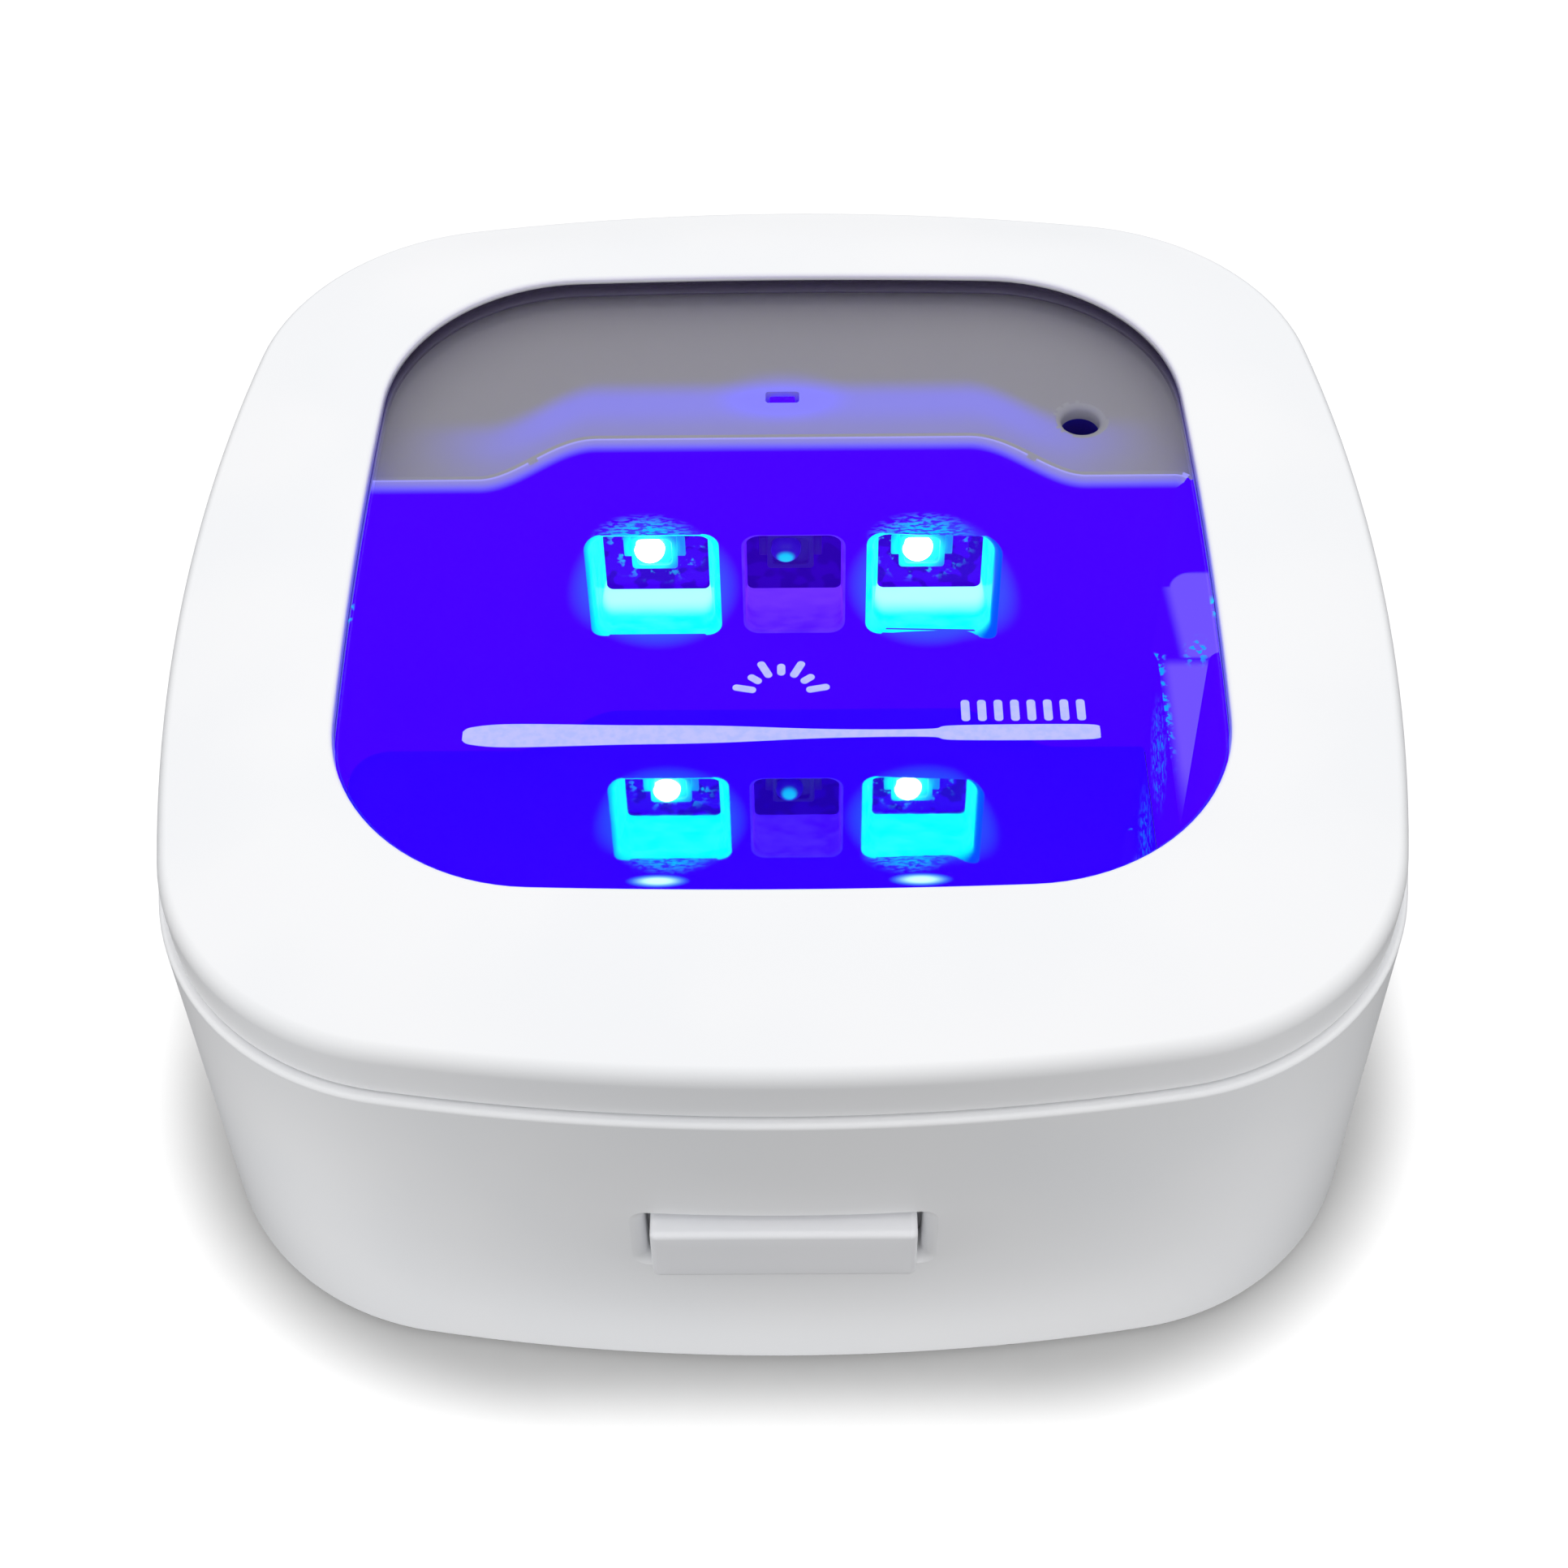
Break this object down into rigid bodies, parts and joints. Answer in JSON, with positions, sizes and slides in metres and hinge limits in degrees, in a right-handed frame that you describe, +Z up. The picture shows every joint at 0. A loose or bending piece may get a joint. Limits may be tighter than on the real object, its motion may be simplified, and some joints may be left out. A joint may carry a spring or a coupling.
{
  "type": "toothbrush sanitizer",
  "caption": "Palm-size toothbrush sanitizer: rounded white box with a hinged windowed lid, front release button, neck passage, and ultraviolet lamps over a mirror-floored chamber.",
  "frame": {"origin": "on the resting surface, under the centre of the box", "axes": "+Z up, -Y the front with the release button, +Y the hinge side, +X the side with the neck passage"},
  "size_m": [0.08, 0.0827, 0.0334],
  "materials": {
    "white_shell": "fine satin moulded white ABS",
    "chamber_white": "semi-gloss moulded white ABS",
    "clear_window": "clear polished acrylic",
    "mirror_floor": "mirror-polished plate",
    "circuit_board": "solder-masked laminate",
    "chip_resin": "moulded resin",
    "lamp_package": "white lamp package with a clear dome",
    "steel": "plated steel",
    "cell_sleeve": "plain heat-shrink sleeve",
    "foam": "closed-cell foam",
    "rubber": "matte silicone rubber",
    "red_insulation": "wire insulation",
    "black_insulation": "wire insulation"
  },
  "bodies": {
    "base": {"base_shell": "white_shell", "bottom_cover": "white_shell", "chamber_tray": "chamber_white", "reflector_plate": "mirror_floor", "led_board": "circuit_board", "uv_led_left": "lamp_package", "uv_led_right": "lamp_package", "uvc_led": "lamp_package", "status_led": "lamp_package", "light_pipe": "clear_window", "mcu_chip": "chip_resin", "choke_coil": "chip_resin", "charge_board": "circuit_board", "charger_chip": "chip_resin", "usb_socket": "steel", "hall_sensor": "chip_resin", "battery_cell": "cell_sleeve", "battery_cradle": "chamber_white", "battery_pad": "foam", "battery_lead_red": "red_insulation", "battery_lead_black": "black_insulation", "board_cable": "black_insulation", "hinge_pin": "steel", "tray_screw": "steel", "cover_screw_front_left": "steel", "cover_screw_front_right": "steel", "cover_screw_rear_left": "steel", "cover_screw_rear_right": "steel", "foot_front_left": "rubber", "foot_front_right": "rubber", "foot_rear_left": "rubber", "foot_rear_right": "rubber", "bumper_left": "rubber", "bumper_right": "rubber", "latch_spring_left": "steel", "latch_spring_right": "steel"},
    "lid": {"lid_frame": "white_shell", "lid_window": "clear_window", "lid_inner_frame": "white_shell", "neck_gate": "white_shell", "lid_magnet": "steel"},
    "button": {"push_button": "white_shell", "latch_slider": "chamber_white"}
  },
  "joints": [
    {"name": "lid_hinge", "type": "hinge", "parent": "base", "child": "lid", "pos_m": [0, 0.0394, 0.0259], "axis": [-1, 0, 0], "range_deg": [0, 100]},
    {"name": "button_press", "type": "slide", "parent": "base", "child": "button", "axis": [0, 1, 0], "range_m": [0, 0.0015], "stiffness_N_per_m": 300, "springref_m": -0.0015, "deforming": ["latch_spring_left", "latch_spring_right"]}
  ]
}
